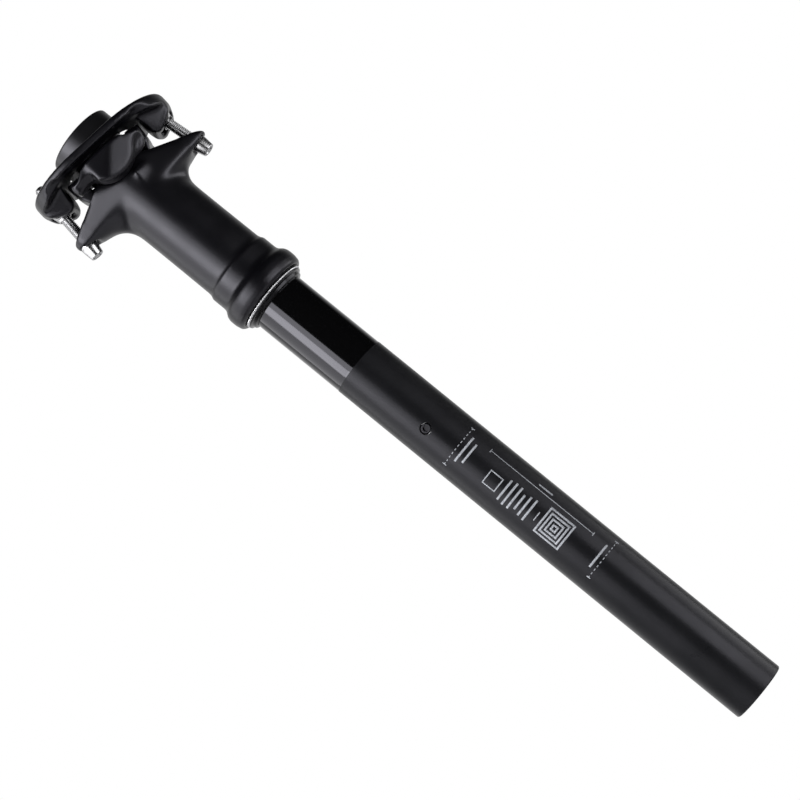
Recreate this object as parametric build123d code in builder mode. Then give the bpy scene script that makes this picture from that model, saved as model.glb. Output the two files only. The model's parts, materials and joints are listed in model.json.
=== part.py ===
from build123d import *
import os
from math import cos, radians, sin, sqrt

# Suspension seatpost, 27.2 mm, with an inverted telescopic leg and a twin-bolt rail clamp.
# Millimetres. Z runs up the post, X points to the front of the bicycle, and the origin is
# the centre of the tube's lower end. The parts stand at full extension.

# ---------------------------------------------------------------- driving dimensions
TUBE_R = 13.6            # outside of the 27.2 mm seat tube section
BORE_R = 11.0            # bore of the tube
STANCHION_R = 13.475     # ground sliding section of the same tube
MATTE_TOP = 216.3        # where the matte section ends
STANCHION_START = 217.1  # where the sliding section begins, above a short taper
STANCHION_TOP = 293.0    # upper end of the tube
BUSH_LAND_R = 13.0       # reduced land that carries the upper bushing
BUSH_LAND_Z = 281.0      # shoulder below the upper bushing
TRAVEL = 40.0            # suspension stroke
FIT = 0.05               # radial clearance of the sliding fits
GAP = 0.2                # gap between curved faces that swivel on each other

SCREW_Z = 176.4          # height of the side screw
SCREW_TURN = -13.2       # its turn about Z, from the -Y side towards the rear
SCREW_R = 2.3            # head of the side screw
SCREW_HOLE_R = 2.65      # hole that the head sinks into

PLUG_LOW, PLUG_TOP = 168.0, 187.0    # spring base plug
SPRING_R, SPRING_WIRE_R = 8.0, 1.4   # coil spring, to the middle of its wire
SPRING_TURNS = 22
SEAT_LOW, SEAT_TOP = 343.0, 347.0    # upper spring seat, preload backed off
CORE_R, CORE_TOP = 5.6, 296.0        # elastomer core inside the spring

NECK_R = 16.2            # outside of the head's neck
HEAD_BORE_R = 14.0       # bore that the upper bushing slides in
HEAD_BORE_TOP = 335.0
COLLAR_Z = 265.0         # lower rim of the head's collar
SEAL_R, SEAL_TOP = 17.0, 269.5       # pocket for the wiper seal
BUSH_R = 15.0            # counterbore for the lower bushing
BUSH_LOW, BUSH_TOP = 270.0, 279.0
WIPER_LOW = 261.0
GARTER_R, GARTER_WIRE_R, GARTER_Z = 16.2, 0.7, 264.2

KEY_COUNT = 3            # brass keys that stop the head turning
KEY_R, KEY_AXIS_R = 1.25, 13.35
KEY_LOW, KEY_TOP = 281.3, 292.5
KEY_GAP = 0.08

PIVOT_Z = 358.0          # the clamp rocks about this height, at the rails' centres
REST_TILT = 8.0          # nose-down tilt of the clamp at rest
COLUMN_R, COLUMN_TOP = 12.5, 363.0   # column between the rails
CHAMBER_R, CHAMBER_TOP = 9.9, 354.2  # spring chamber inside the column
SHANK_R = 5.2            # bore for the preload screw
CAP_R, CAP_LOW, CAP_TOP = 16.2, 364.0, 373.8
CAP_WELL_R, CAP_WELL_Z = 6.5, 371.1  # round well in the cap for its nut
PRELOAD_R, PRELOAD_LOW = 3.92, 338.0 # threaded end of the preload screw
FLANGE_R, FLANGE_LOW, FLANGE_TOP = 9.0, 351.4, 353.2
STUD_R = 4.5                         # end of the screw that the cap is pressed on
CAP_KEY = 6.0                        # key size across flats, to turn the cap

ROCKER_R = 20.4          # drum of the cradle
ROCKER_HALF = 9.2        # half width of the drum's wings
HUB_R = 12.6             # hub beside the column
LOBE_R = 14.9            # rounded lobes under the rails
LOBE_HEEL, LOBE_HEEL_LOW, LOBE_NOSE = 8.2, 10.8, 16.8
HUB_IN, HUB_OUT, CRADLE_HALF = 12.9, 16.5, 27.0
WING_TOP, WING_LOW = 1.4, -12.2          # height of the drum's wings, in the clamp's frame
CRADLE_TOP, CRADLE_LOW, CRADLE_LONG = -0.8, -6.0, 19.0
REAR_CHEEK, FRONT_CHEEK = 23.5, 20.0     # outer faces of the cheeks beside the lobes
RIB_FROM, RIB_TO, RIB_HALF, RIB_TOP = 13.4, 16.4, 9.2, 2.2
NOSE_IN, NOSE_UNDER = 0.26, 0.24         # slopes of the lobes' outer faces, forwards and down

RAIL_R, RAIL_Y = 3.5, 22.0           # 7 mm saddle rails, 44 mm apart
PLATE_TOP, PLATE_HALF, PLATE_ARC = 6.3, 27.0, 9.6
OPENING_HALF, OPENING_REAR, OPENING_FRONT = 16.5, -2.0, 0.3
KNUCKLE_HALF = 8.6       # half width of the knuckles that hold the nuts
FLARE_FROM, FLARE_TO = -6.4, 2.0         # heights between which they flare out to the rim
NUT_A, NUT_B, NUT_R, NUT_HALF = 30.0, -2.0, 4.0, 6.0
NUT_HOLE_R, NUT_COLLAR_R, NUT_COLLAR = 2.75, 3.1, 4.4

BOLT_R = 2.35            # M5 thread
BOLT_LENGTHS = {"front": 32.8, "rear": 34.3}  # from under the head
BOLT_HEAD_R, BOLT_END_R, BOLT_HEAD = 3.8, 3.0, 5.6
HEX_KEY = 4.0            # key size across flats
SADDLE_R, SADDLE_DROP = 5.2, 3.4     # crowned washer and the axis it swings about
WASHER_R = 3.9
BOLT_SEATS = {"front": (31.1, 332.0), "rear": (-33.2, 340.1)}
EAR_REACH = {"front": 36.6, "rear": 37.5}
EAR_TIP_R = 6.9
EAR_STEPS = 6
SHOULDER_LOW, SHOULDER_TOP = 334.5, 342.3
SHOULDER_FOOT = ((2, 16.0), (8.5, 13.7), (8.5, 11), (2, 13))         # X and Y at the low end
SHOULDER_HEAD = ((3.2, 18.4), (10.4, 14.9), (10.4, 10), (3.2, 13))   # X and Y at the top

TILT = radians(REST_TILT)
CLAMP_X = (cos(TILT), 0, -sin(TILT))
CLAMP_Z = (sin(TILT), 0, cos(TILT))
CLAMP_AXIS = Axis((0, 0, PIVOT_Z), CLAMP_Z)
CLAMP_TOP_VIEW = Plane(origin=(0, 0, PIVOT_Z), x_dir=CLAMP_X, z_dir=CLAMP_Z)


def side_view(y):
    """Upright plane across the bicycle at y, facing -Y, in the post's own directions."""
    return Plane(origin=(0, y, 0), x_dir=(1, 0, 0), z_dir=(0, -1, 0))


def clamp_side_view(y):
    """The same plane turned and raised to the clamp's pivot."""
    return Plane(origin=(0, y, PIVOT_Z), x_dir=CLAMP_X, z_dir=(0, -1, 0))


def clamp_point(a, b):
    """X and Z of a point given along and square to the clamp."""
    return a * CLAMP_X[0] + b * CLAMP_Z[0], PIVOT_Z + a * CLAMP_X[2] + b * CLAMP_Z[2]


def bolt_direction(end):
    """Unit X and Z from a bolt's head to the middle of its nut."""
    x, z = BOLT_SEATS[end]
    nut_x, nut_z = clamp_point(NUT_A if end == "front" else -NUT_A, NUT_B)
    length = sqrt((nut_x - x) ** 2 + (nut_z - z) ** 2)
    return (nut_x - x) / length, (nut_z - z) / length


def bolt_plane(end, along=0.0):
    """Plane square to a bolt, a given way along it from under its head."""
    (x, z), (dx, dz) = BOLT_SEATS[end], bolt_direction(end)
    return Plane(origin=(x + dx * along, 0, z + dz * along), x_dir=(dz, 0, -dx), z_dir=(dx, 0, dz))


def saddle_centre(end):
    """X and Z of the axis that a bolt swings about."""
    (x, z), (dx, dz) = BOLT_SEATS[end], bolt_direction(end)
    return x - SADDLE_DROP * dx, z - SADDLE_DROP * dz


def save(part, name):
    """Name a finished piece and write it to its own file."""
    part.label = name
    export_step(part, f"parts/{name}.step")


os.makedirs("parts", exist_ok=True)
SCREW_PLANE = Plane(
    origin=(0, 0, SCREW_Z),
    x_dir=(cos(radians(SCREW_TURN)), sin(radians(SCREW_TURN)), 0),
    z_dir=(sin(radians(SCREW_TURN)), -cos(radians(SCREW_TURN)), 0),
)

# ---------------------------------------------------------------- the leg
with BuildPart() as lower_tube:
    with BuildSketch(side_view(0)):
        with BuildLine():
            Polyline(
                (BORE_R + 0.4, 0), (TUBE_R - 0.5, 0), (TUBE_R, 0.5),
                (TUBE_R, MATTE_TOP), (STANCHION_R, STANCHION_START),
                (STANCHION_R, BUSH_LAND_Z), (BUSH_LAND_R, BUSH_LAND_Z),
                (BUSH_LAND_R, STANCHION_TOP), (BORE_R, STANCHION_TOP),
                (BORE_R, 0.4), close=True,
            )
        make_face()
    revolve(axis=Axis.Z)
    with BuildSketch(SCREW_PLANE.offset(BORE_R - 2)):
        Circle(SCREW_HOLE_R)
    extrude(amount=6, mode=Mode.SUBTRACT)
    with BuildSketch(Plane.XY.offset(KEY_LOW)):
        with PolarLocations(KEY_AXIS_R, KEY_COUNT):
            Circle(KEY_R)
    extrude(amount=STANCHION_TOP - KEY_LOW, mode=Mode.SUBTRACT)
save(lower_tube.part, "lower_tube")

with BuildPart() as upper_guide_bushing:
    with BuildSketch(Plane.XY.offset(KEY_LOW)):
        Circle(HEAD_BORE_R - FIT)
        Circle(BUSH_LAND_R, mode=Mode.SUBTRACT)
        with PolarLocations(KEY_AXIS_R, KEY_COUNT):
            Circle(KEY_R + KEY_GAP, mode=Mode.SUBTRACT)
    extrude(amount=STANCHION_TOP - KEY_LOW - 1)
save(upper_guide_bushing.part, "upper_guide_bushing")

with BuildPart() as guide_keys:
    with BuildSketch(Plane.XY.offset(KEY_LOW)):
        with PolarLocations(KEY_AXIS_R, KEY_COUNT):
            Circle(KEY_R - 0.01)
    extrude(amount=KEY_TOP - KEY_LOW)
save(guide_keys.part, "guide_keys")

with BuildPart() as spring_base_plug:
    with BuildSketch(side_view(0)):
        with BuildLine():
            Polyline(
                (0, PLUG_LOW), (BORE_R - 1, PLUG_LOW), (BORE_R - FIT, PLUG_LOW + 1),
                (BORE_R - FIT, PLUG_LOW + 2), (BORE_R - 2.15, PLUG_LOW + 2),
                (BORE_R - 2.15, PLUG_LOW + 4.2), (BORE_R - FIT, PLUG_LOW + 4.2),
                (BORE_R - FIT, PLUG_TOP), (0, PLUG_TOP), close=True,
            )
        make_face()
    revolve(axis=Axis.Z)
    with BuildSketch(SCREW_PLANE.offset(3)):
        Circle(1.5)
    extrude(amount=BORE_R, mode=Mode.SUBTRACT)
save(spring_base_plug.part, "spring_base_plug")

with BuildPart() as plug_o_ring:
    with BuildSketch(side_view(0)):
        with Locations((BORE_R - 1.1, PLUG_LOW + 3.1)):
            Circle(1.0)
        with Locations((BORE_R - 1.15, PLUG_LOW + 3.1)):
            Rectangle(2.2, 2.1, mode=Mode.INTERSECT)
    revolve(axis=Axis.Z)
save(plug_o_ring.part, "plug_o_ring")

with BuildPart() as side_screw:
    with BuildSketch(SCREW_PLANE.offset(BORE_R)):
        Circle(SCREW_R)
    extrude(amount=1.9)
    fillet(side_screw.edges().filter_by(GeomType.CIRCLE).sort_by(SCREW_PLANE.location.z_axis)[-1], 0.4)
    with BuildSketch(SCREW_PLANE.offset(4)):
        Circle(1.49)
    extrude(amount=BORE_R - 4)
    with BuildSketch(SCREW_PLANE.offset(BORE_R + 1.9)):
        RegularPolygon(1.45, 6)
    extrude(amount=-1.5, mode=Mode.SUBTRACT)
save(side_screw.part, "side_screw")

with BuildPart() as elastomer_core:
    with BuildSketch(Plane.XY.offset(PLUG_TOP)):
        Circle(CORE_R)
    extrude(amount=CORE_TOP - PLUG_TOP)
    chamfer(elastomer_core.edges().group_by(Axis.Z)[-1], 1.0)
save(elastomer_core.part, "elastomer_core")

with BuildPart() as coil_spring:
    spring_height = SEAT_LOW - PLUG_TOP - 2 * SPRING_WIRE_R
    with BuildLine(Plane.XY.offset(PLUG_TOP + SPRING_WIRE_R)):
        coil = Helix(pitch=spring_height / SPRING_TURNS, height=spring_height, radius=SPRING_R)
    with BuildSketch(Plane(origin=coil @ 0, z_dir=coil % 0)):
        Circle(SPRING_WIRE_R)
    sweep(path=coil, is_frenet=True)
save(coil_spring.part, "coil_spring")

# ---------------------------------------------------------------- the head casting
def ear_sections(z_low, z_tip, radius, slope, tip):
    """Heights and reaches of an ear's underside: a fillet off the neck, a slope, then the tip."""
    bend = radians(90 - slope)
    sections = []
    for step in range(EAR_STEPS + 1):
        turn = bend * step / EAR_STEPS
        sections.append((z_low + radius * sin(turn), NECK_R + 0.1 + radius * (1 - cos(turn))))
    return sections + [(z_tip, tip - 1.1), (z_tip + 1.5, tip)]


EAR_UNDERSIDES = {
    "front": ear_sections(z_low=321.6, z_tip=331.5, radius=8.5, slope=4.3, tip=EAR_REACH["front"]),
    "rear": ear_sections(z_low=324.2, z_tip=339.9, radius=12.0, slope=19.6, tip=EAR_REACH["rear"]),
}
with BuildPart() as ears:
    for end, sense in (("front", 1), ("rear", -1)):
        for z, reach in EAR_UNDERSIDES[end]:
            with BuildSketch(Plane.XY.offset(z)):
                Circle(NECK_R - 0.02)
                with Locations((sense * (reach - EAR_TIP_R), 0)):
                    Circle(EAR_TIP_R)
                make_hull()
        loft(ruled=True)
        with BuildSketch(Plane.XY.offset(EAR_UNDERSIDES[end][-1][0])):
            Circle(NECK_R - 0.02)
            with Locations((sense * (EAR_REACH[end] - EAR_TIP_R), 0)):
                Circle(EAR_TIP_R)
            make_hull()
        extrude(amount=30)
    with BuildSketch(side_view(0)):
        Polygon(
            (-40, 300), (-40, 343.9), (-36.9, 344.8), (-19.6, 349.8), (-8.0, 352.2), (8.0, 348.9),
            (16.3, 344.3), (26.5, 339.2), (36.0, 334.7), (40, 333.2), (40, 300), align=None,
        )
    extrude(amount=30, both=True, mode=Mode.INTERSECT)

with BuildPart() as head:
    with BuildSketch(side_view(0)):
        with BuildLine():
            Polyline(
                (0, COLLAR_Z), (18.3, COLLAR_Z), (19.2, 266.0), (19.7, 268.6), (19.7, 271.6),
                (19.2, 273.4), (17.6, 275.4), (17.2, 276.6), (17.2, 283.6), (16.5, 284.6),
                (NECK_R, 286.5), (NECK_R, 344), (0, 344), close=True,
            )
        make_face()
    revolve(axis=Axis.Z)
    add(ears.part)
    # shoulders that stand out below the clamp's hubs
    for sense in (-1, 1):
        with BuildSketch(Plane.XY.offset(SHOULDER_LOW)):
            Polygon(*[(x, sense * y) for x, y in SHOULDER_FOOT], align=None)
        with BuildSketch(Plane.XY.offset(SHOULDER_TOP)):
            Polygon(*[(x, sense * y) for x, y in SHOULDER_HEAD], align=None)
        loft(ruled=True)
    with BuildSketch(clamp_side_view(ROCKER_HALF + 0.3)):
        Circle(ROCKER_R + GAP)
        with Locations((0, 20)):
            Rectangle(2 * (ROCKER_R + GAP), 40)
    extrude(amount=2 * (ROCKER_HALF + 0.3), mode=Mode.SUBTRACT)
    for wall_y in (30, -HUB_IN + 0.3):
        with BuildSketch(clamp_side_view(wall_y)):
            Circle(HUB_R + GAP)
            with Locations((0, 20)):
                Rectangle(2 * (HUB_R + GAP), 40)
        extrude(amount=30 - HUB_IN + 0.3, mode=Mode.SUBTRACT)
    with BuildSketch(Plane.XY.offset(HEAD_BORE_TOP)):
        Circle(COLUMN_R)
    extrude(amount=COLUMN_TOP - HEAD_BORE_TOP)
    with BuildSketch(side_view(0)):
        with BuildLine():
            Polyline(
                (0, COLLAR_Z - 1), (SEAL_R, COLLAR_Z - 1), (SEAL_R, SEAL_TOP),
                (BUSH_R, SEAL_TOP), (BUSH_R, BUSH_LAND_Z), (HEAD_BORE_R, BUSH_LAND_Z),
                (HEAD_BORE_R, HEAD_BORE_TOP), (CHAMBER_R, HEAD_BORE_TOP),
                (CHAMBER_R, CHAMBER_TOP), (SHANK_R, CHAMBER_TOP),
                (SHANK_R, COLUMN_TOP + 1), (0, COLUMN_TOP + 1), close=True,
            )
        make_face()
    revolve(axis=Axis.Z, mode=Mode.SUBTRACT)
    with BuildSketch(Plane.XY.offset(BUSH_LAND_Z)):
        with PolarLocations(KEY_AXIS_R, KEY_COUNT):
            Circle(KEY_R + KEY_GAP)
    extrude(amount=HEAD_BORE_TOP - BUSH_LAND_Z, mode=Mode.SUBTRACT)
    with BuildSketch(Plane.XY.offset(HEAD_BORE_TOP)):
        with Locations((0, CHAMBER_R - 0.2)):
            Circle(1.3)
    extrude(amount=CHAMBER_TOP - HEAD_BORE_TOP, mode=Mode.SUBTRACT)
    for end in BOLT_SEATS:
        with BuildSketch(bolt_plane(end, -12)):
            Circle(BOLT_R + 0.75)
        extrude(amount=30, mode=Mode.SUBTRACT)
        saddle_x, saddle_z = saddle_centre(end)
        with BuildSketch(side_view(WASHER_R + GAP)):
            with Locations((saddle_x, saddle_z)):
                Circle(SADDLE_R + GAP)
        extrude(amount=2 * (WASHER_R + GAP), mode=Mode.SUBTRACT)
save(head.part, "head")

with BuildPart() as lower_guide_bushing:
    with BuildSketch(Plane.XY.offset(BUSH_LOW)):
        Circle(BUSH_R)
        Circle(STANCHION_R + FIT, mode=Mode.SUBTRACT)
    extrude(amount=BUSH_TOP - BUSH_LOW)
save(lower_guide_bushing.part, "lower_guide_bushing")

with BuildPart() as top_out_bumper:
    with BuildSketch(Plane.XY.offset(BUSH_TOP)):
        Circle(BUSH_R - 0.1)
        Circle(STANCHION_R + 0.2, mode=Mode.SUBTRACT)
    extrude(amount=BUSH_LAND_Z - BUSH_TOP)
save(top_out_bumper.part, "top_out_bumper")

with BuildPart() as bottom_out_bumper:
    with BuildSketch(Plane.XY.offset(STANCHION_TOP + TRAVEL + 0.3)):
        Circle(HEAD_BORE_R - 0.1)
        Circle(BORE_R - 0.4, mode=Mode.SUBTRACT)
    extrude(amount=HEAD_BORE_TOP - STANCHION_TOP - TRAVEL - 0.3)
save(bottom_out_bumper.part, "bottom_out_bumper")

with BuildPart() as wiper_seal:
    inner_r = STANCHION_R + FIT
    with BuildSketch(side_view(0)):
        with BuildLine():
            Polyline(
                (inner_r, WIPER_LOW), (13.95, WIPER_LOW), (14.9, 261.5), (15.3, 262.6),
                (16.3, 263.0), (16.5, 263.4), (16.5, COLLAR_Z), (SEAL_R, COLLAR_Z),
                (SEAL_R, SEAL_TOP), (inner_r + 0.6, SEAL_TOP), (inner_r + 0.6, 262.4),
                (inner_r, 262.0), close=True,
            )
        make_face()
        with Locations((GARTER_R, GARTER_Z)):
            Circle(GARTER_WIRE_R + 0.02, mode=Mode.SUBTRACT)
    revolve(axis=Axis.Z)
save(wiper_seal.part, "wiper_seal")

with BuildPart() as garter_spring:
    with BuildSketch(side_view(0)):
        with Locations((GARTER_R, GARTER_Z)):
            Circle(GARTER_WIRE_R)
    revolve(axis=Axis.Z)
save(garter_spring.part, "garter_spring")

# ---------------------------------------------------------------- spring preload
with BuildPart() as spring_seat:
    with BuildSketch(Plane.XY.offset(SEAT_LOW)):
        Circle(CHAMBER_R - 0.1)
        with Locations((0, CHAMBER_R - 0.2)):
            Circle(1.2)
        Circle(4.0, mode=Mode.SUBTRACT)
    extrude(amount=SEAT_TOP - SEAT_LOW)
    with BuildSketch(Plane.XY.offset(SEAT_LOW - 2)):
        Circle(SPRING_R - SPRING_WIRE_R - 0.15)
        Circle(4.0, mode=Mode.SUBTRACT)
    extrude(amount=2)
save(spring_seat.part, "spring_seat")

with BuildPart() as preload_screw:
    with BuildSketch(side_view(0)):
        with BuildLine():
            Polyline(
                (0, PRELOAD_LOW), (PRELOAD_R - 0.5, PRELOAD_LOW), (PRELOAD_R, PRELOAD_LOW + 0.6),
                (PRELOAD_R, FLANGE_LOW), (FLANGE_R, FLANGE_LOW), (FLANGE_R, FLANGE_TOP),
                (SHANK_R - FIT, FLANGE_TOP), (SHANK_R - FIT, CAP_LOW - 0.4),
                (STUD_R, CAP_LOW - 0.4), (STUD_R, CAP_WELL_Z - 0.1), (0, CAP_WELL_Z - 0.1),
                close=True,
            )
        make_face()
    revolve(axis=Axis.Z)
save(preload_screw.part, "preload_screw")

with BuildPart() as thrust_washer:
    with BuildSketch(Plane.XY.offset(FLANGE_TOP + FIT)):
        Circle(FLANGE_R + 0.2)
        Circle(SHANK_R + 0.1, mode=Mode.SUBTRACT)
    extrude(amount=CHAMBER_TOP - FLANGE_TOP - FIT)
save(thrust_washer.part, "thrust_washer")

with BuildPart() as top_cap:
    with BuildSketch(side_view(0)):
        with BuildLine():
            Polyline(
                (STUD_R + FIT, CAP_LOW), (CAP_R - 0.6, CAP_LOW), (CAP_R, CAP_LOW + 0.6),
                (CAP_R, CAP_TOP - 0.9), (CAP_R - 0.9, CAP_TOP), (CAP_WELL_R, CAP_TOP),
                (CAP_WELL_R, CAP_WELL_Z), (STUD_R + FIT, CAP_WELL_Z), close=True,
            )
        make_face()
    revolve(axis=Axis.Z)
save(top_cap.part, "top_cap")

with BuildPart() as cap_nut:
    with BuildSketch(Plane.XY.offset(CAP_WELL_Z)):
        Circle(CAP_WELL_R - 0.1)
        RegularPolygon(CAP_KEY / 2, 6, major_radius=False, mode=Mode.SUBTRACT)
    extrude(amount=CAP_TOP - CAP_WELL_Z - 0.4)
    chamfer(cap_nut.faces().sort_by(Axis.Z)[-1].outer_wire().edges(), 0.4)
save(cap_nut.part, "cap_nut")

with BuildPart() as cap_o_ring:
    with BuildSketch(Plane.XY.offset(COLUMN_TOP)):
        Circle(COLUMN_R - 1.0)
        Circle(COLUMN_R - 2.6, mode=Mode.SUBTRACT)
    extrude(amount=CAP_LOW - COLUMN_TOP - 0.1)
save(cap_o_ring.part, "cap_o_ring")

# ---------------------------------------------------------------- the rail clamp
with BuildPart() as lower_cradle:
    # slab under both rails
    with BuildSketch(CLAMP_TOP_VIEW.offset(CRADLE_LOW)):
        RectangleRounded(2 * CRADLE_LONG, 2 * (CRADLE_HALF - 1.2), 5)
    extrude(amount=CRADLE_TOP - CRADLE_LOW)
    # hubs beside the column
    for y_high in (HUB_OUT, -HUB_IN):
        with BuildSketch(clamp_side_view(y_high)):
            Circle(HUB_R)
            with Locations((0, -20 + CRADLE_LOW + 1)):
                Rectangle(60, 40, mode=Mode.INTERSECT)
        extrude(amount=HUB_OUT - HUB_IN)
    # lobes under the rails, flat at the rear and running out into a nose at the front
    for y_high in (CRADLE_HALF, -HUB_OUT):
        with BuildSketch(clamp_side_view(y_high)):
            with BuildLine():
                Polyline((LOBE_NOSE, CRADLE_LOW + 0.6), (LOBE_NOSE, CRADLE_TOP), (-LOBE_HEEL, CRADLE_TOP),
                         (-LOBE_HEEL, -LOBE_HEEL_LOW))
                ThreePointArc((-LOBE_HEEL, -LOBE_HEEL_LOW), (2.0, -LOBE_R), (13.0, -8.6))
                Line((13.0, -8.6), (LOBE_NOSE, CRADLE_LOW + 0.6))
            make_face()
        extrude(amount=CRADLE_HALF - HUB_OUT)
    # cheeks that carry the lobes' line to the front and rear, clear of the head
    for cheek, outline in (
        (REAR_CHEEK, ((-7, -1), (-18.6, -2.0), (-19.4, -5.5), (-18.2, -9.6), (-12, -8.0), (-7, -8.0))),
        (FRONT_CHEEK, ((7, -1), (19.4, -1.6), (20.0, -4.5), (18.6, -8.5), (15.6, -11.6), (7, -11.6))),
    ):
        for y_high in (cheek, -HUB_OUT):
            with BuildSketch(clamp_side_view(y_high)):
                Polygon(*outline, align=None)
            extrude(amount=cheek - HUB_OUT)
    # drum wings in front of and behind the column
    with BuildSketch(clamp_side_view(ROCKER_HALF)):
        Circle(ROCKER_R)
        with Locations((0, (WING_TOP + WING_LOW) / 2)):
            Rectangle(60, WING_TOP - WING_LOW, mode=Mode.INTERSECT)
    extrude(amount=2 * ROCKER_HALF)
    # rib inside the front of the rim's opening
    with BuildSketch(CLAMP_TOP_VIEW):
        with Locations(((RIB_FROM + RIB_TO) / 2, 0)):
            Rectangle(RIB_TO - RIB_FROM, 2 * RIB_HALF)
    extrude(amount=RIB_TOP)
    # way through for the column, wider at the front where the clamp leans over it
    with BuildSketch(clamp_side_view(HUB_IN)):
        Polygon((-14.1, 5), (-13.0, -3), (-12.5, -14), (16.9, -14), (14.1, -3), (13.0, 5), align=None)
    extrude(amount=2 * HUB_IN, mode=Mode.SUBTRACT)
    # the lobes' outer faces slope in towards the nose and the underside
    for sense in (-1, 1):
        nose_x, nose_z = clamp_point(9.0, 1.5)
        slope = Vector(CLAMP_X) * NOSE_IN - Vector(CLAMP_Z) * NOSE_UNDER + Vector(0, sense, 0)
        outer_face = Plane(origin=(nose_x, sense * CRADLE_HALF, nose_z), z_dir=slope)
        split(bisect_by=outer_face, keep=Keep.BOTTOM)
    # rail grooves
    for rail_y in (RAIL_Y, -RAIL_Y):
        with BuildSketch(Plane(origin=(0, 0, PIVOT_Z), x_dir=(0, 1, 0), z_dir=CLAMP_X)):
            with Locations((rail_y, 0)):
                Circle(RAIL_R)
        extrude(amount=40, both=True, mode=Mode.SUBTRACT)
    # the rail grooves dip at their rear ends, inside a turned-up lip
    for y_high in (30, -HUB_OUT - 0.6):
        with BuildSketch(clamp_side_view(y_high)):
            with BuildLine():
                Spline(
                    (-20, -2.2), (-18.0, -3.0), (-15.7, -4.5), (-13.3, -2.8), (-11.2, -1.3),
                    (-9.4, CRADLE_TOP),
                )
                Polyline((-9.4, CRADLE_TOP), (-9.4, 2), (-20, 2), (-20, -2.2))
            make_face()
        extrude(amount=30 - HUB_OUT - 0.6, mode=Mode.SUBTRACT)
save(lower_cradle.part, "lower_cradle")

with BuildPart() as knuckles:
    with BuildSketch(CLAMP_TOP_VIEW.offset(-12)):
        SlotCenterToCenter(2 * PLATE_ARC, 2 * PLATE_HALF - 0.6)
    extrude(amount=16)
    with BuildSketch(clamp_side_view(KNUCKLE_HALF)):
        for sense in (-1, 1):
            Polygon(*[(sense * a, b) for a, b in (
                (21.7, 4), (21.7, -2.5), (22.6, -5.8), (24.6, -7.7), (26.6, -7.9), (31.4, -5.8),
                (34.1, -3.9), (36.6, -0.2), (36.6, 4),
            )], align=None)
    extrude(amount=2 * KNUCKLE_HALF, mode=Mode.INTERSECT)

with BuildPart() as flares:
    with BuildSketch(CLAMP_TOP_VIEW.offset(FLARE_FROM)):
        Polygon((23.8, -9.2), (29.6, -8.0), (29.6, 8.0), (23.8, 9.2), align=None)
    with BuildSketch(CLAMP_TOP_VIEW.offset(FLARE_TO)):
        Polygon((21.7, -14.5), (35.5, -10.0), (35.5, 10.0), (21.7, 14.5), align=None)
    loft(ruled=True)
    mirror(about=Plane(origin=(0, 0, PIVOT_Z), z_dir=CLAMP_X))
    with BuildSketch(CLAMP_TOP_VIEW.offset(-12)):
        SlotCenterToCenter(2 * PLATE_ARC, 2 * PLATE_HALF - 0.6)
    extrude(amount=16, mode=Mode.INTERSECT)

with BuildPart() as upper_clamp:
    # boat-shaped rim: shallow along its sides, deeper at both ends
    with BuildSketch(CLAMP_TOP_VIEW.offset(-12)):
        SlotCenterToCenter(2 * PLATE_ARC, 2 * PLATE_HALF)
    extrude(amount=12 + PLATE_TOP)
    with BuildSketch(clamp_side_view(40)):
        Polygon(
            (-40, -0.2), (-31, -0.2), (-20, 2.4), (20, 2.4), (31, -0.2), (40, -0.2),
            (40, 10), (-40, 10), align=None,
        )
    extrude(amount=80, mode=Mode.INTERSECT)
    fillet(upper_clamp.faces().sort_by(CLAMP_AXIS)[-1].edges(), 1.2)
    add(knuckles.part)
    add(flares.part)
    # way through for the column and its cap
    with BuildSketch(CLAMP_TOP_VIEW.offset(-12)):
        with Locations(((OPENING_REAR + OPENING_FRONT) / 2, 0)):
            SlotCenterToCenter(OPENING_FRONT - OPENING_REAR, 2 * OPENING_HALF)
    extrude(amount=30, mode=Mode.SUBTRACT)
    for rail_y in (RAIL_Y, -RAIL_Y):
        with BuildSketch(Plane(origin=(0, 0, PIVOT_Z), x_dir=(0, 1, 0), z_dir=CLAMP_X)):
            with Locations((rail_y, 0)):
                Circle(RAIL_R)
            with Locations((rail_y, -3)):
                Rectangle(2 * RAIL_R, 6)
        extrude(amount=40, both=True, mode=Mode.SUBTRACT)
    for sense in (-1, 1):
        # pocket that the nut drops into from above, and slot for the bolt
        with BuildSketch(clamp_side_view(NUT_HALF + 0.15)):
            with Locations((sense * NUT_A, NUT_B)):
                Circle(NUT_R + FIT)
            with Locations((sense * NUT_A, NUT_B + 10)):
                Rectangle(2 * (NUT_R + FIT), 20)
        extrude(amount=2 * (NUT_HALF + 0.15), mode=Mode.SUBTRACT)
        with BuildSketch(clamp_side_view(NUT_COLLAR_R + 0.2)):
            Polygon(*[(sense * a, b) for a, b in (
                (23.9, 10), (25.6, NUT_B), (25.6, -12), (38, -12), (38, NUT_B), (33.8, NUT_B),
                (33.8, 10),
            )], align=None)
        extrude(amount=2 * (NUT_COLLAR_R + 0.2), mode=Mode.SUBTRACT)
save(upper_clamp.part, "upper_clamp")

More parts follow.
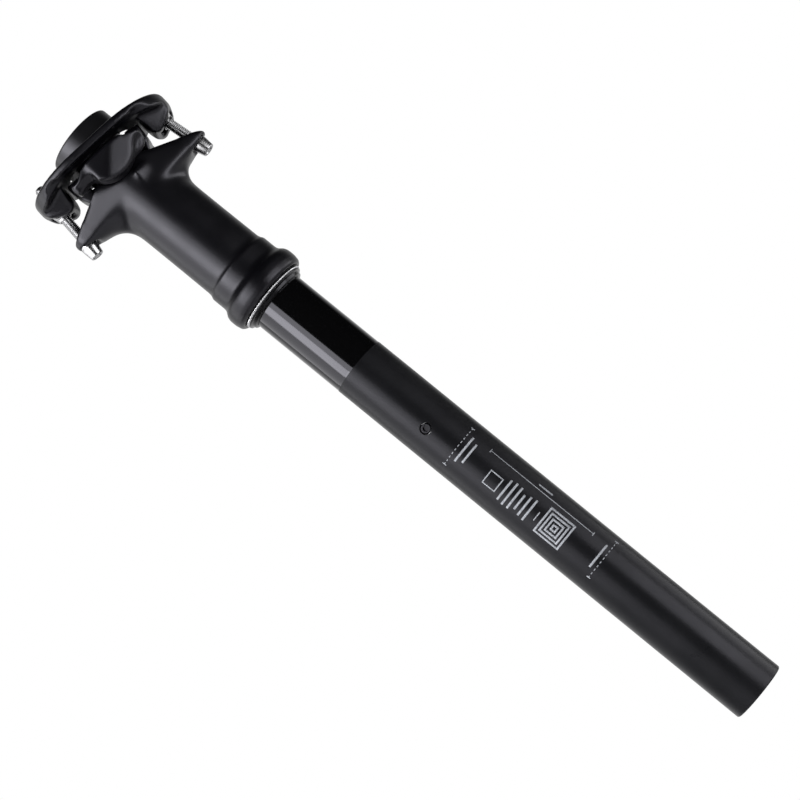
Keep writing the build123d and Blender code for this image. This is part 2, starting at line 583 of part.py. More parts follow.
# ---------------------------------------------------------------- bolts, washers and nuts
for end in BOLT_SEATS:
    (seat_x, seat_z), (dir_x, dir_z) = BOLT_SEATS[end], bolt_direction(end)
    nut_x, nut_z = clamp_point(NUT_A if end == "front" else -NUT_A, NUT_B)
    nut_reach = sqrt((nut_x - seat_x) ** 2 + (nut_z - seat_z) ** 2)
    saddle_x, saddle_z = saddle_centre(end)

    with BuildPart() as clamp_bolt:
        with BuildSketch(bolt_plane(end, -BOLT_HEAD)):
            Circle(BOLT_END_R)
        with BuildSketch(bolt_plane(end, -0.6)):
            Circle(BOLT_HEAD_R)
        loft()
        with BuildSketch(bolt_plane(end, -0.6)):
            Circle(BOLT_HEAD_R)
        extrude(amount=0.55)
        with BuildSketch(bolt_plane(end, -0.1)):
            Circle(BOLT_R)
        extrude(amount=BOLT_LENGTHS[end] + 0.1)
        with BuildSketch(bolt_plane(end, -BOLT_HEAD)):
            RegularPolygon(HEX_KEY / 2, 6, major_radius=False)
        extrude(amount=3, mode=Mode.SUBTRACT)
    save(clamp_bolt.part, f"{end}_bolt")

    with BuildPart() as bolt_washer:
        with BuildSketch(bolt_plane(end)):
            Circle(WASHER_R)
            Circle(BOLT_R + 0.07, mode=Mode.SUBTRACT)
        extrude(amount=3)
        with BuildSketch(side_view(5)):
            with Locations((saddle_x, saddle_z)):
                Circle(SADDLE_R)
        extrude(amount=10, mode=Mode.INTERSECT)
    save(bolt_washer.part, f"{end}_washer")

    with BuildPart() as barrel_nut:
        with BuildSketch(side_view(NUT_HALF)):
            with Locations((nut_x, nut_z)):
                Circle(NUT_R)
        extrude(amount=2 * NUT_HALF)
        with BuildSketch(bolt_plane(end, nut_reach - NUT_COLLAR)):
            Circle(NUT_COLLAR_R)
        extrude(amount=NUT_COLLAR)
        with BuildSketch(bolt_plane(end, nut_reach - 8)):
            Circle(NUT_HOLE_R)
        extrude(amount=16, mode=Mode.SUBTRACT)
    save(barrel_nut.part, f"{end}_barrel_nut")
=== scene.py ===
import json
from math import cos, pi, radians, sin, tau

import bmesh
import bpy
import numpy as np
from mathutils import Matrix, Vector


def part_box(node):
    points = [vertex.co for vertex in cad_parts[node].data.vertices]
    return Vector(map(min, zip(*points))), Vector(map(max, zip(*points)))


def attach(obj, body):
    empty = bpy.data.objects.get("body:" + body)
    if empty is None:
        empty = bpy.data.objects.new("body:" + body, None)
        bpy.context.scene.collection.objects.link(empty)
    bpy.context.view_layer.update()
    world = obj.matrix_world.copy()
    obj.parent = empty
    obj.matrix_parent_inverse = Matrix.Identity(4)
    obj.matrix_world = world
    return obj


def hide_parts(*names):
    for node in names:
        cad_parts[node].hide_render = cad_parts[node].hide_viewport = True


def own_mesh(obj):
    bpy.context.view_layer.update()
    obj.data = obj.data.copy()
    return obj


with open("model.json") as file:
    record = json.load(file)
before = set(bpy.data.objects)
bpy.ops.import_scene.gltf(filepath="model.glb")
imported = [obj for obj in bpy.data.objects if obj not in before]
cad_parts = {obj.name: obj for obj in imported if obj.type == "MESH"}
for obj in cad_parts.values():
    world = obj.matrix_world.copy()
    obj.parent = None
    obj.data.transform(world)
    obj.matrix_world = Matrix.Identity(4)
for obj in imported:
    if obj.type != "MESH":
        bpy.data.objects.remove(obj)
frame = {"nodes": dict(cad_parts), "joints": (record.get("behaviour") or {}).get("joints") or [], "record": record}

# Suspension seatpost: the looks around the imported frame. Metres, Z up the post, X to the
# front of the bicycle. The camera stands on the -Y side.

MM = 0.001
scene = bpy.context.scene
nodes = frame["nodes"]
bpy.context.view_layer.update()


# ---------------------------------------------------------------- frame readings
def joint(name):
    """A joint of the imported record."""
    return next(j for j in frame["joints"] if j["name"] == name)


def mount(name):
    """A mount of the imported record."""
    return next(m for m in frame["record"]["mounts"] if m["name"] == name)


TUBE_R = mount("seat_tube")["dims"]["r_mm"] * MM
MATTE_TOP = mount("seat_tube")["dims"]["length_mm"] * MM + 0.5 * MM


# ---------------------------------------------------------------- materials
COAT_TINT = (0.91, 0.9, 1.0)   # the coats' reflections are a little violet
USUAL_NOISE = (0.3, 0.7)       # most of a noise lies between these
DRIFT_SCALE = 60.0


def new_material(name, base, roughness, metallic=0.0, specular=0.5):
    """A Principled material with its constants set on the shader's own sockets."""
    mat = bpy.data.materials.new(name)
    mat.use_nodes = True
    shader = mat.node_tree.nodes["Principled BSDF"]
    shader.inputs["Base Color"].default_value = (*base, 1)
    shader.inputs["Roughness"].default_value = roughness
    shader.inputs["Metallic"].default_value = metallic
    shader.inputs["Specular IOR Level"].default_value = specular
    if not metallic:
        shader.inputs["Specular Tint"].default_value = (*COAT_TINT, 1)
    return mat, shader


def add(mat, kind, **inputs):
    """Add a node and set its inputs by name, with underscores for spaces."""
    node = mat.node_tree.nodes.new(kind)
    for key, value in inputs.items():
        node.inputs[key.replace("_", " ")].default_value = value
    return node


def link(mat, source, target):
    mat.node_tree.links.new(source, target)


def place_in_object(mat):
    """Where a point of the surface is in the object."""
    return mat.node_tree.nodes.new("ShaderNodeTexCoord").outputs["Object"]


def noise(mat, scale, detail=3.0, stretch=None):
    """A 3-D noise, with its pattern stretched where that is asked."""
    source = place_in_object(mat)
    if stretch:
        mapping = mat.node_tree.nodes.new("ShaderNodeMapping")
        mapping.inputs["Scale"].default_value = stretch
        link(mat, source, mapping.inputs["Vector"])
        source = mapping.outputs["Vector"]
    pattern = add(mat, "ShaderNodeTexNoise", Scale=scale, Detail=detail)
    link(mat, source, pattern.inputs["Vector"])
    return pattern.outputs["Fac"]


def between(mat, factor, low, high, start=0.0, end=1.0):
    """A factor from start to end spread over low to high."""
    spread = add(mat, "ShaderNodeMapRange", From_Min=start, From_Max=end, To_Min=low, To_Max=high)
    link(mat, factor, spread.inputs["Value"])
    return spread.outputs["Result"]


def blend_colors(mat, factor, low, high):
    """A colour between two, each given as numbers or as another node's output."""
    mix = mat.node_tree.nodes.new("ShaderNodeMix")
    mix.data_type = "RGBA"
    for socket, color in (("A", low), ("B", high)):
        if isinstance(color, tuple):
            mix.inputs[socket].default_value = (*color, 1)
        else:
            link(mat, color, mix.inputs[socket])
    link(mat, factor, mix.inputs["Factor"])
    return mix.outputs["Result"]


def bump(mat, shader, height, distance, strength=1.0):
    node = add(mat, "ShaderNodeBump", Strength=strength, Distance=distance)
    link(mat, height, node.inputs["Height"])
    link(mat, node.outputs["Normal"], shader.inputs["Normal"])


def tinted(mat, base, factor, depth=0.15):
    """The base colour, a little darker and lighter with a factor."""
    darker, lighter = (tuple(scale * c for c in base) for scale in (1 - depth, 1 + depth))
    return blend_colors(mat, factor, darker, lighter)


def grained(name, base, roughness, spread, grain_scale, grain_depth, **options):
    """A finish with a fine grain, and a slow drift in its gloss and colour."""
    mat, shader = new_material(name, base, roughness, **options)
    drift = noise(mat, DRIFT_SCALE, 4.0)
    rough = between(mat, drift, roughness - spread, roughness + spread, *USUAL_NOISE)
    link(mat, rough, shader.inputs["Roughness"])
    link(mat, tinted(mat, base, drift), shader.inputs["Base Color"])
    bump(mat, shader, noise(mat, grain_scale, 2.0), grain_depth)
    return mat


def height_in_object(mat):
    """How high a point of the surface is in the object."""
    split = mat.node_tree.nodes.new("ShaderNodeSeparateXYZ")
    link(mat, place_in_object(mat), split.inputs["Vector"])
    return split.outputs["Z"]


MATTE_BLACK, GLOSS_BLACK = (0.0072, 0.0074, 0.0084), (0.0018, 0.0018, 0.002)
MATTE_ROUGH, GLOSS_ROUGH = (0.27, 0.35), (0.07, 0.12)
MATTE_SHEEN, GLOSS_SHEEN = 0.22, 0.5
POLISH_LINE = 0.05 * MM        # half width of the border between the two finishes


def tube_material():
    """Matte bead-blasted anodising on the lower section, and polished hard anodising above it."""
    mat, shader = new_material("tube", MATTE_BLACK, MATTE_ROUGH[1])
    height = height_in_object(mat)
    polished = between(mat, height, 0.0, 1.0, MATTE_TOP - POLISH_LINE, MATTE_TOP + POLISH_LINE)
    drift = noise(mat, 45.0, 5.0)
    color = blend_colors(mat, polished, tinted(mat, MATTE_BLACK, drift), GLOSS_BLACK)
    link(mat, color, shader.inputs["Base Color"])
    matte_rough = between(mat, drift, *MATTE_ROUGH, *USUAL_NOISE)
    streaks = noise(mat, 900.0, 2.0, (1.0, 1.0, 0.02))
    gloss_rough = between(mat, streaks, *GLOSS_ROUGH, *USUAL_NOISE)
    rough = mat.node_tree.nodes.new("ShaderNodeMix")
    link(mat, polished, rough.inputs["Factor"])
    link(mat, matte_rough, rough.inputs["A"])
    link(mat, gloss_rough, rough.inputs["B"])
    link(mat, rough.outputs["Result"], shader.inputs["Roughness"])
    sheen = between(mat, polished, MATTE_SHEEN, GLOSS_SHEEN)
    link(mat, sheen, shader.inputs["Specular IOR Level"])
    blasted = mat.node_tree.nodes.new("ShaderNodeMath")
    blasted.operation = "MULTIPLY"
    link(mat, noise(mat, 7000.0, 2.0), blasted.inputs[0])
    link(mat, between(mat, polished, 1.0, 0.04), blasted.inputs[1])
    bump(mat, shader, blasted.outputs["Value"], 0.00001)
    return mat


COLLAR_TOP, COLLAR_FADE = 279 * MM, 6 * MM
COLLAR_SHEEN, NECK_SHEEN = 0.36, 0.42


def casting_material():
    """Satin coat over cast metal, duller round the collar at the foot of the head."""
    mat = grained("casting", (0.0020, 0.0019, 0.0028), 0.34, 0.04, 4200.0, 0.000012)
    start, end = COLLAR_TOP - COLLAR_FADE, COLLAR_TOP + COLLAR_FADE
    sheen = between(mat, height_in_object(mat), COLLAR_SHEEN, NECK_SHEEN, start, end)
    link(mat, sheen, mat.node_tree.nodes["Principled BSDF"].inputs["Specular IOR Level"])
    return mat


THIN_INK, THICK_INK = (0.24, 0.25, 0.28), (0.5, 0.52, 0.56)


def print_material():
    """Pale screen print, thin enough for the black to show through in places."""
    mat, shader = new_material("print", THICK_INK, 0.55)
    patchy = between(mat, noise(mat, 2500.0, 3.0), 0.0, 1.0, 0.35, 0.6)
    link(mat, blend_colors(mat, patchy, THIN_INK, THICK_INK), shader.inputs["Base Color"])
    bump(mat, shader, noise(mat, 9000.0, 1.0), 0.000005)
    return mat


def polished_steel(name, base, low, high):
    """Bright steel with fine turning marks and the odd rubbed patch."""
    mat, shader = new_material(name, base, low, metallic=1.0)
    marks = noise(mat, 1400.0, 4.0)
    link(mat, between(mat, marks, low, high, *USUAL_NOISE), shader.inputs["Roughness"])
    link(mat, tinted(mat, base, noise(mat, 500.0, 3.0), 0.1), shader.inputs["Base Color"])
    bump(mat, shader, marks, 0.000004)
    return mat


MATERIALS = {
    "tube": tube_material(),
    "print": print_material(),
    "casting": casting_material(),
    "clamp": grained("clamp", (0.0018, 0.0017, 0.0026), 0.34, 0.05, 5200.0, 0.000015,
                     specular=0.42),
    "cap": grained("cap", (0.0045, 0.0045, 0.005), 0.36, 0.03, 7000.0, 0.000008),
    "steel": polished_steel("steel", (0.44, 0.44, 0.45), 0.2, 0.34),
    "black_steel": grained("black_steel", (0.002, 0.002, 0.003), 0.24, 0.05, 6000.0, 0.000006,
                           specular=0.3),
    "spring_steel": polished_steel("spring_steel", (0.7, 0.7, 0.72), 0.2, 0.32),
    "bare_alloy": polished_steel("bare_alloy", (0.7, 0.71, 0.73), 0.25, 0.4),
    "brass": polished_steel("brass", (0.72, 0.52, 0.24), 0.2, 0.35),
    "bushing": grained("bushing", (0.05, 0.045, 0.04), 0.45, 0.04, 6000.0, 0.00001),
    "rubber": grained("rubber", (0.002, 0.002, 0.002), 0.22, 0.04, 6000.0, 0.000006,
                      specular=0.28),
    "elastomer": grained("elastomer", (0.5, 0.1, 0.03), 0.4, 0.04, 3000.0, 0.00002),
}
SLOTS = {part["node"]: part["material_slot"] for part in frame["record"]["subparts"]}
for name, node in nodes.items():
    node.data.materials.clear()
    node.data.materials.append(MATERIALS[SLOTS[name]])


# ---------------------------------------------------------------- mesh helpers
def piece(name, verts, faces, slot_name, body, *replaced, material=None):
    """A smooth-shaded piece in the row frame that rides on a body and stands for CAD nodes."""
    mesh = bpy.data.meshes.new(name)
    mesh.from_pydata([tuple(v) for v in verts], [], faces)
    mesh.validate()
    mesh.shade_smooth()
    mesh.materials.append(MATERIALS[material or slot_name])
    obj = bpy.data.objects.new(name, mesh)
    scene.collection.objects.link(obj)
    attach(obj, body)
    if replaced:
        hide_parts(*replaced)
    return obj


def turned(rows, segments):
    """A closed surface about Z. A row is (radius, height), and a radius may depend on the angle.
    A row of radius 0 is a point on the axis. Without one at each end, the last row meets the
    first."""
    verts, rings = [], []
    for radius, height in rows:
        if radius == 0:
            rings.append([len(verts)] * segments)
            verts.append((0, 0, height))
            continue
        rings.append(list(range(len(verts), len(verts) + segments)))
        for i in range(segments):
            turn = tau * i / segments
            r = radius(turn) if callable(radius) else radius
            verts.append((r * cos(turn), r * sin(turn), height))
    pairs = list(zip(rings, rings[1:]))
    if rows[0][0] != 0:
        pairs.append((rings[-1], rings[0]))
    faces = []
    for low, high in pairs:
        for i in range(segments):
            j = (i + 1) % segments
            corners = [low[i], low[j], high[j], high[i]]
            faces.append(tuple(dict.fromkeys(corners)))
    return verts, faces


def rounded(points, radii, steps=4):
    """A line of points with each corner rounded to its own radius."""
    out = [points[0]]
    for before, corner, after, radius in zip(points, points[1:], points[2:], radii):
        a, b, c = Vector(before), Vector(corner), Vector(after)
        if radius == 0:
            out.append(corner)
            continue
        start = b + (a - b).normalized() * radius
        end = b + (c - b).normalized() * radius
        for i in range(steps + 1):
            t = i / steps
            out.append(tuple(start * (1 - t) ** 2 + b * 2 * t * (1 - t) + end * t ** 2))
    return out + [points[-1]]


def set_at(verts, origin, along):
    """Verts made about Z, moved so that Z runs along a direction in the XZ plane."""
    z = Vector(along).normalized()
    y = Vector((0, 1, 0))
    frame_matrix = Matrix((y.cross(z), y, z)).transposed()
    return [frame_matrix @ Vector(v) + Vector(origin) for v in verts]


def coil(points, radius, sides, closed=False):
    """A round wire along points, with its ends capped unless it closes on itself."""
    points = np.array(points, float)
    ahead = np.roll(points, -1, 0) - np.roll(points, 1, 0)
    if not closed:
        ahead[0], ahead[-1] = points[1] - points[0], points[-1] - points[-2]
    ahead /= np.linalg.norm(ahead, axis=1)[:, None]
    side = np.cross(ahead, (0.0, 0.0, 1.0))
    side /= np.linalg.norm(side, axis=1)[:, None]
    lift = np.cross(side, ahead)
    turn = np.arange(sides) * tau / sides
    rings = (points[:, None] + radius * (
        side[:, None] * np.cos(turn)[None, :, None] + lift[:, None] * np.sin(turn)[None, :, None]))
    count = len(points)
    faces = []
    for i in range(count if closed else count - 1):
        j = (i + 1) % count
        for k in range(sides):
            m = (k + 1) % sides
            faces.append((i * sides + k, i * sides + m, j * sides + m, j * sides + k))
    if not closed:
        faces.append(tuple(range(sides))[::-1])
        faces.append(tuple((count - 1) * sides + k for k in range(sides)))
    return rings.reshape(-1, 3), faces


WELD = 0.002 * MM
MELT_STEP, GROW_STEP = 0.5, -0.507     # the growing steps undo the shrinking of the others


def softened(node, voxel, melting, passes, weight):
    """Verts and faces of a CAD node with its edges and inside corners flowed together, as cast or
    forged metal has them. Melting passes round it, and the others only even it out. weight gives
    how freely each point moves, from 0 to 1."""
    mesh = nodes[node].data.copy()
    bm = bmesh.new()
    bm.from_mesh(mesh)
    bmesh.ops.remove_doubles(bm, verts=bm.verts, dist=WELD)
    bm.to_mesh(mesh)
    bm.free()
    obj = bpy.data.objects.new("soften", mesh)
    scene.collection.objects.link(obj)
    remesh = obj.modifiers.new("remesh", "REMESH")
    remesh.mode = "VOXEL"
    remesh.voxel_size = voxel
    made = bpy.data.meshes.new_from_object(obj.evaluated_get(bpy.context.evaluated_depsgraph_get()))
    bpy.data.objects.remove(obj)
    co = np.array([v.co for v in made.vertices], float)
    edges = np.array([e.vertices[:] for e in made.edges])
    faces = [tuple(p.vertices) for p in made.polygons]
    bpy.data.meshes.remove(made)
    one = np.concatenate((edges[:, 0], edges[:, 1]))
    two = np.concatenate((edges[:, 1], edges[:, 0]))
    neighbours = np.bincount(one, minlength=len(co))[:, None]
    freedom = weight(co)[:, None]
    for step in [MELT_STEP] * melting + [MELT_STEP, GROW_STEP] * passes:
        sums = [np.bincount(one, weights=co[two, k], minlength=len(co)) for k in range(3)]
        total = np.stack(sums, 1)
        co = co + step * freedom * (total / neighbours - co)
    return co, faces


# ---------------------------------------------------------------- head casting
NECK_MIDDLE, NECK_FADE, EAR_TIP = 290 * MM, 15 * MM, 27 * MM
COLUMN_HALF, COLUMN_LOW = 12.8 * MM, 350 * MM
BORE_WALL, BORE_TOP = 14.8 * MM, 336 * MM


def head_freedom(co):
    """The roots of the ears flow freely. Their tips do less, and the collar, the bore and the
    column keep their edges."""
    radius = np.hypot(co[:, 0], co[:, 1])
    in_column = (np.abs(co[:, 1]) < COLUMN_HALF) & (co[:, 2] > COLUMN_LOW)
    in_bore = (radius < BORE_WALL) & (co[:, 2] < BORE_TOP)
    free = np.clip((co[:, 2] - NECK_MIDDLE) / NECK_FADE, 0.08, 1.0)
    free = np.where(np.abs(co[:, 0]) > EAR_TIP, 0.4, free)
    free = np.where(in_column, 0.2, free)
    return np.where(in_bore, 0.1, free)


verts, faces = softened("head", 0.5 * MM, 45, 60, head_freedom)
piece("head_casting", verts, faces, "casting", "head", "head")


# ---------------------------------------------------------------- rail clamp
OPENING_R, WING_HALF = 20 * MM, 12.7 * MM


def plate_freedom(co):
    """The rim and the knuckles flow freely, and the opening round the column keeps its edges."""
    return np.where(np.hypot(co[:, 0], co[:, 1]) < OPENING_R, 0.12, 0.9)


def cradle_freedom(co):
    """The lobes and cheeks flow freely, and the wings beside the column stay close to it."""
    return np.where(np.abs(co[:, 1]) > WING_HALF, 0.9, 0.25)


verts, faces = softened("upper_clamp", 0.45 * MM, 25, 40, plate_freedom)
piece("upper_clamp_plate", verts, faces, "clamp", "clamp", "upper_clamp")
verts, faces = softened("lower_cradle", 0.45 * MM, 45, 40, cradle_freedom)
piece("cradle_casting", verts, faces, "clamp", "clamp", "lower_cradle")


# ---------------------------------------------------------------- bolts
BOLT_MAJOR, BOLT_MINOR, PITCH = 2.42 * MM, 1.98 * MM, 0.8 * MM
HEAD_R, HEAD_END_R, HEAD_LONG = 3.8 * MM, 3.0 * MM, 5.6 * MM
KEY_HALF, KEY_DEPTH = 2.0 * MM, 3.0 * MM
THREAD_STEPS = 8


def hexagon(turn):
    """Radius of the key socket at an angle."""
    return KEY_HALF / cos((turn % (pi / 3)) - pi / 6)


def thread(height):
    """Radius of a single-start thread at a height, as a function of the angle."""
    def radius(turn):
        phase = (height / PITCH - turn / tau) % 1.0
        ridge = min(1.0, max(0.0, 1.35 * (1 - abs(2 * phase - 1)) - 0.1))
        return BOLT_MINOR + (BOLT_MAJOR - BOLT_MINOR) * ridge
    return radius


def bolt_rows(length):
    """Rows from the middle of the key socket, round the head and along the thread to its end."""
    rows = [(0, -HEAD_LONG + KEY_DEPTH + 0.8 * MM), (hexagon, -HEAD_LONG + KEY_DEPTH)]
    rows += [(hexagon, -HEAD_LONG + 0.25 * MM), (KEY_HALF * 1.22, -HEAD_LONG)]
    rim = rounded(
        [(KEY_HALF * 1.22, -HEAD_LONG), (HEAD_END_R, -HEAD_LONG), (HEAD_R, -0.9 * MM), (HEAD_R, 0),
         (BOLT_MINOR, 0)], [0.45 * MM, 0.5 * MM, 0.15 * MM], 5)
    rows += rim[1:]
    steps = int((length - 0.8 * MM) / PITCH * THREAD_STEPS)
    for i in range(steps):
        height = i * PITCH / THREAD_STEPS
        rows.append((thread(height), 0.05 * MM + height))
    rows += [(BOLT_MINOR, length - 0.75 * MM), (BOLT_MINOR * 0.96, length - 0.4 * MM),
             (BOLT_MINOR * 0.75, length - 0.1 * MM), (0, length)]
    return rows


for end in ("front", "rear"):
    turning = joint(f"{end}_bolt_turn")
    low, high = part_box(f"{end}_bolt")
    lean = Vector(turning["axis"]).normalized()
    length = (high.z - Vector(turning["pos_m"]).z - abs(lean.x) * BOLT_MAJOR) / lean.z
    verts, faces = turned(bolt_rows(length), 48)
    verts = set_at(verts, turning["pos_m"], lean)
    piece(f"{end}_clamp_bolt", verts, faces, "steel", f"{end}_bolt", f"{end}_bolt")


# ---------------------------------------------------------------- garter spring round the wiper
low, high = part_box("garter_spring")
GARTER_R, GARTER_HALF = high.x - (high.z - low.z) / 2, (high.z - low.z) / 2
GARTER_Z = (low.z + high.z) / 2
GARTER_TURNS, GARTER_WIRE, GARTER_POINTS = 440, 0.115 * MM, 10
around = np.arange(GARTER_TURNS * GARTER_POINTS) * tau / (GARTER_TURNS * GARTER_POINTS)
wound = around * GARTER_TURNS
reach = GARTER_R + (GARTER_HALF - GARTER_WIRE) * np.cos(wound)
path = np.stack((reach * np.cos(around), reach * np.sin(around),
                 GARTER_Z + (GARTER_HALF - GARTER_WIRE) * np.sin(wound)), 1)
verts, faces = coil(path, GARTER_WIRE, 6, closed=True)
piece("garter_coil", verts, faces, "spring_steel", "head", "garter_spring")


# ---------------------------------------------------------------- main spring
low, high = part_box("coil_spring")
WIRE_R = 1.4 * MM
SPRING_R = high.x - WIRE_R
SPRING_TURNS, END_TURNS, POINTS_PER_TURN = 22, 1.0, 36
END_RISE = 0.38                        # the end turns' pitch, as a share of the others'
count = int(SPRING_TURNS * POINTS_PER_TURN)
turns = np.arange(count + 1) / POINTS_PER_TURN
closing = np.clip(np.minimum(turns, SPRING_TURNS - turns) / END_TURNS, 0, 1)
steps = 0.5 * (closing[1:] + closing[:-1]) * (1 - END_RISE) + END_RISE
rise = np.cumsum(np.concatenate(([0], steps)))
lift = low.z + WIRE_R + (high.z - low.z - 2 * WIRE_R) * rise / rise[-1]
path = np.stack((SPRING_R * np.cos(turns * tau), SPRING_R * np.sin(turns * tau), lift), 1)
verts, faces = coil(path, WIRE_R, 14)
main_spring = piece("main_spring", verts, faces, "spring_steel", "post", "coil_spring")
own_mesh(main_spring)


# ---------------------------------------------------------------- preload cap
low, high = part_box("top_cap")
CAP_R, WELL_R, STUD_R, WELL_DEEP = high.x, 6.5 * MM, 4.55 * MM, 2.7 * MM
outline = rounded(
    [(STUD_R, low.z), (CAP_R, low.z), (CAP_R, high.z), (WELL_R, high.z), (WELL_R, high.z - WELL_DEEP),
     (STUD_R, high.z - WELL_DEEP)], [0.5 * MM, 1.0 * MM, 0.35 * MM, 0], 6)
verts, faces = turned(outline, 128)
piece("preload_dial", verts, faces, "cap", "preload_cap", "top_cap")


# ---------------------------------------------------------------- printed marks
INK_LOW, INK_HIGH = 0.004 * MM, 0.02 * MM
DEGREE = 180 / (pi * TUBE_R / MM)     # turn of one millimetre along the surface
PATCH_TURN = 4                        # greatest turn of one flat facet of a mark
shells, shell_faces = [], []


def mark(turn_a, turn_b, z_a, z_b):
    """A printed patch on the tube between two angles from -Y, in degrees, and two heights in mm."""
    steps = max(1, int(abs(turn_b - turn_a) / PATCH_TURN) + 1)
    first = len(shells)
    for depth in (INK_LOW, INK_HIGH):
        for z in (z_a, z_b):
            for i in range(steps + 1):
                t = radians(turn_a + (turn_b - turn_a) * i / steps)
                shells.append(((TUBE_R + depth) * sin(t), -(TUBE_R + depth) * cos(t), z * MM))
    row = steps + 1
    inner_low, inner_high, outer_low, outer_high = (first + k * row for k in range(4))
    for i in range(steps):
        j = i + 1
        shell_faces.append((inner_low + i, inner_high + i, inner_high + j, inner_low + j))
        shell_faces.append((outer_low + i, outer_low + j, outer_high + j, outer_high + i))
        shell_faces.append((inner_low + i, inner_low + j, outer_low + j, outer_low + i))
        shell_faces.append((inner_high + i, outer_high + i, outer_high + j, inner_high + j))
    for i, flip in ((0, 1), (steps, -1)):
        shell_faces.append((inner_low + i, outer_low + i, outer_high + i, inner_high + i)[::flip])


DASH_HALF, TICK_HALF, TICK_REACH = 0.18, 0.25, 0.95


def dashed_ring(turn_a, turn_b, z, dashes=11):
    """A dashed line around the tube with a tick at each end."""
    pitch = (turn_b - turn_a) / (dashes - 0.5)
    for i in range(dashes):
        mark(turn_a + i * pitch, turn_a + (i + 0.5) * pitch, z - DASH_HALF, z + DASH_HALF)
    for turn in (turn_a, turn_b):
        mark(turn - TICK_HALF * DEGREE, turn + TICK_HALF * DEGREE, z - TICK_REACH, z + TICK_REACH)


def bar(middle, z, width, height=0.95):
    """A plain bar on the tube, its middle at an angle, its width and height in mm."""
    mark(middle - width * DEGREE / 2, middle + width * DEGREE / 2, z - height / 2, z + height / 2)


def framed_square(turn, z, half, line):
    """The outline of a square on the tube."""
    left, right, low, high = turn - half * DEGREE, turn + half * DEGREE, z - half, z + half
    mark(left, right, low, low + line)
    mark(left, right, high - line, high)
    mark(left, left + line * DEGREE, low + line, high - line)
    mark(right - line * DEGREE, right, low + line, high - line)


# plain bars stand for the words, and plain squares for the sign and the code block
UPPER_LINE, UPPER_START, UPPER_END = 161.2, -43.5, 45
LOWER_LINE, LOWER_START, LOWER_END = 84.8, -36.5, 52
UPPER_BARS, UPPER_BARS_TURN = ((158.4, 13.2), (155.5, 10.0)), 2.0
LOWER_BAR, LOWER_BAR_WIDTH, LOWER_BAR_TURN = 87.2, 12.2, 6.0
SCALE_TURN, SCALE_LOW, SCALE_HIGH, SCALE_HALF, SCALE_END = 32.0, 94.4, 149.4, 0.17, 2.0
LENGTH_TURN, LENGTH_MIDDLE, LENGTH_WIDTH, LENGTH_TALL = 41.5, 121.4, 0.8, 7.4
NOTE_TURN, NOTE_TOP, NOTE_PITCH = -9.0, 134.6, 2.69
NOTE_WIDTHS = (10.4, 11.6, 11.2, 7.6, 9.8, 10.8)
POINTER, POINTER_WIDTH, POINTER_TALL = 117.3, 4.4, 0.45
SIGN_TURN, SIGN_MIDDLE, SIGN_HALF, SIGN_LINE = -9.5, 140.8, 3.4, 0.5
BLOCK_TURN, BLOCK_MIDDLE, BLOCK_HALVES, BLOCK_LINE = -6.3, 108.4, (6.6, 4.9, 3.2, 1.5), 0.85

dashed_ring(UPPER_START, UPPER_END, UPPER_LINE)
dashed_ring(LOWER_START, LOWER_END, LOWER_LINE)
scale_half = SCALE_HALF * DEGREE
mark(SCALE_TURN - scale_half, SCALE_TURN + scale_half, SCALE_LOW, SCALE_HIGH)
for z in (SCALE_LOW, SCALE_HIGH):
    bar(SCALE_TURN, z, SCALE_END, 0.35)
bar(LENGTH_TURN, LENGTH_MIDDLE, LENGTH_WIDTH, LENGTH_TALL)
for z, width in UPPER_BARS:
    bar(UPPER_BARS_TURN, z, width)
bar(LOWER_BAR_TURN, LOWER_BAR, LOWER_BAR_WIDTH)
for i, width in enumerate(NOTE_WIDTHS):
    bar(NOTE_TURN, NOTE_TOP - NOTE_PITCH * i, width)
bar(NOTE_TURN, POINTER, POINTER_WIDTH, POINTER_TALL)
framed_square(SIGN_TURN, SIGN_MIDDLE, SIGN_HALF, SIGN_LINE)
for half in BLOCK_HALVES:
    framed_square(BLOCK_TURN, BLOCK_MIDDLE, half, BLOCK_LINE)
piece("printed_marks", shells, shell_faces, "tube", "post", material="print")


# ---------------------------------------------------------------- camera
CAMERA_AZIMUTH = radians(-2)      # from the -Y side, a little towards the rear
CAMERA_ELEVATION = radians(-6.2)  # a little below level
CAMERA_DISTANCE = 0.9988
CAMERA_AIM = Vector((0, 0, 0.1938))
CAMERA_ROLL = radians(39.14)      # the post leans across the picture
LENS, SENSOR, NEAREST = 105.75, 36, 0.01

back = Vector((
    sin(CAMERA_AZIMUTH) * cos(CAMERA_ELEVATION),
    -cos(CAMERA_AZIMUTH) * cos(CAMERA_ELEVATION),
    sin(CAMERA_ELEVATION),
))
level = Vector((cos(CAMERA_AZIMUTH), sin(CAMERA_AZIMUTH), 0))
upright = back.cross(level)
right = level * sin(CAMERA_ROLL) - upright * cos(CAMERA_ROLL)
camera = bpy.data.objects.new("camera", bpy.data.cameras.new("camera"))
camera.data.lens = LENS
camera.data.sensor_width = SENSOR
camera.data.clip_start = NEAREST
camera.matrix_world = Matrix.Translation(CAMERA_AIM + back * CAMERA_DISTANCE) @ Matrix(
    (right, back.cross(right), back)).transposed().to_4x4()
scene.collection.objects.link(camera)
scene.camera = camera
scene.view_settings.view_transform = "Standard"


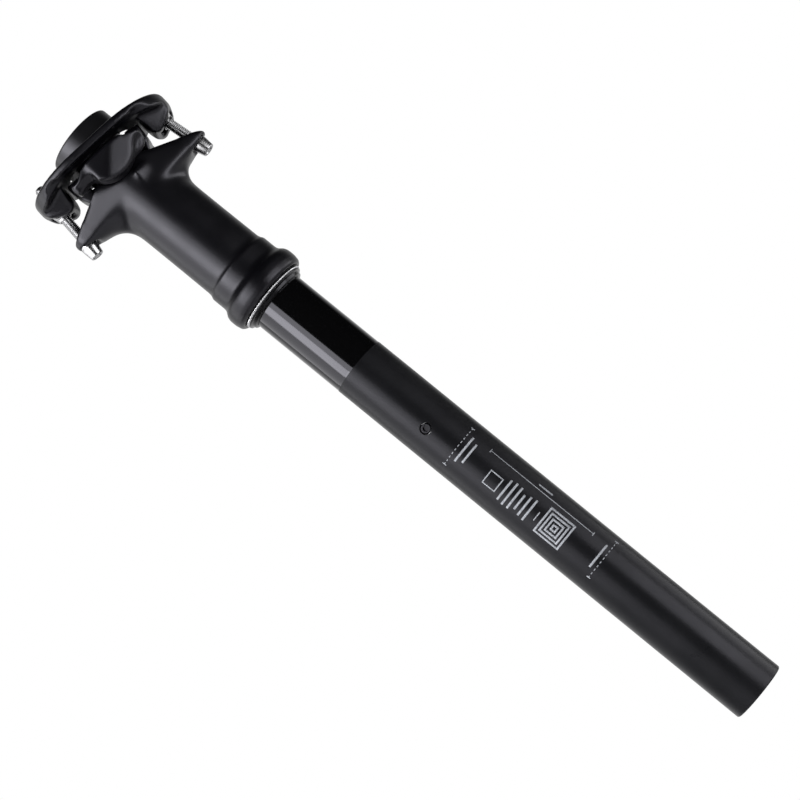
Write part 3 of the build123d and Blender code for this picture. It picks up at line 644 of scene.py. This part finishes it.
# ---------------------------------------------------------------- lights, room and floor
def panel(name, azimuth, distance, z_low, z_high, width, radiance):
    """An upright soft panel that faces the post. Azimuth 0 is the -Y side, positive to the front."""
    light = bpy.data.objects.new(name, bpy.data.lights.new(name, "AREA"))
    light.data.shape = "RECTANGLE"
    light.data.size = width
    light.data.size_y = z_high - z_low
    light.data.energy = radiance * pi * width * (z_high - z_low)
    a = radians(azimuth)
    way = Vector((sin(a), -cos(a), 0))
    light.location = way * distance + Vector((0, 0, (z_low + z_high) / 2))
    light.rotation_euler = way.to_track_quat("Z", "Y").to_euler()
    scene.collection.objects.link(light)
    return light


panel("key", -43, 1.6, 0.1, 1.8, 1.3, 3.4)
panel("key_core", -54, 1.55, 0.4, 1.4, 0.77, 4.8)
panel("fill_rear", -92, 1.7, 0.12, 1.8, 1.7, 2.1)
panel("low_front", 48, 1.5, -0.75, 0.1, 1.3, 4.6)
panel("low_side", 100, 1.6, -0.75, 0.1, 1.2, 2.6)

world = bpy.data.worlds.new("studio")
scene.world = world
world.use_nodes = True
tree = world.node_tree


def room_node(kind, **inputs):
    """Add a node to the room's shader and set its inputs by name."""
    node = tree.nodes.new(kind)
    for key, value in inputs.items():
        node.inputs[key.replace("_", " ")].default_value = value
    return node


ROOM_AZIMUTH = radians(-168)      # middle of the room's bright side, behind the post
ROOM_DARK, ROOM_BRIGHT = 0.012, 0.9
FADE_START, FADE_END = 0.25, 0.95
backdrop = tree.nodes["Background"]
backdrop.inputs["Color"].default_value = (1, 1, 1, 1)
room = room_node("ShaderNodeBackground", Color=(1, 1, 1, 1))
facing = room_node("ShaderNodeVectorMath")
facing.operation = "DOT_PRODUCT"
facing.inputs[1].default_value = (sin(ROOM_AZIMUTH), -cos(ROOM_AZIMUTH), 0)
tree.links.new(room_node("ShaderNodeTexCoord").outputs["Generated"], facing.inputs[0])
ramp = room_node("ShaderNodeMapRange", From_Min=FADE_START, From_Max=FADE_END,
                 To_Min=ROOM_DARK, To_Max=ROOM_BRIGHT)
ramp.interpolation_type = "SMOOTHSTEP"
tree.links.new(facing.outputs["Value"], ramp.inputs["Value"])
tree.links.new(ramp.outputs["Result"], room.inputs["Strength"])
choose = room_node("ShaderNodeMixShader")
tree.links.new(room_node("ShaderNodeLightPath").outputs["Is Camera Ray"], choose.inputs["Fac"])
tree.links.new(room.outputs["Background"], choose.inputs[1])
tree.links.new(backdrop.outputs["Background"], choose.inputs[2])
tree.links.new(choose.outputs["Shader"], tree.nodes["World Output"].inputs["Surface"])

FLOOR_Z, FLOOR_R, FLOOR_SEGMENTS = -0.2, 0.85, 96
rim = [tau * i / FLOOR_SEGMENTS for i in range(FLOOR_SEGMENTS)]
mesh = bpy.data.meshes.new("floor")
mesh.from_pydata([(FLOOR_R * cos(turn), FLOOR_R * sin(turn), FLOOR_Z) for turn in rim], [],
                 [tuple(range(FLOOR_SEGMENTS))])
floor = bpy.data.objects.new("floor", mesh)
scene.collection.objects.link(floor)
mesh.materials.append(new_material("floor", (0.82, 0.82, 0.82), 0.6)[0])
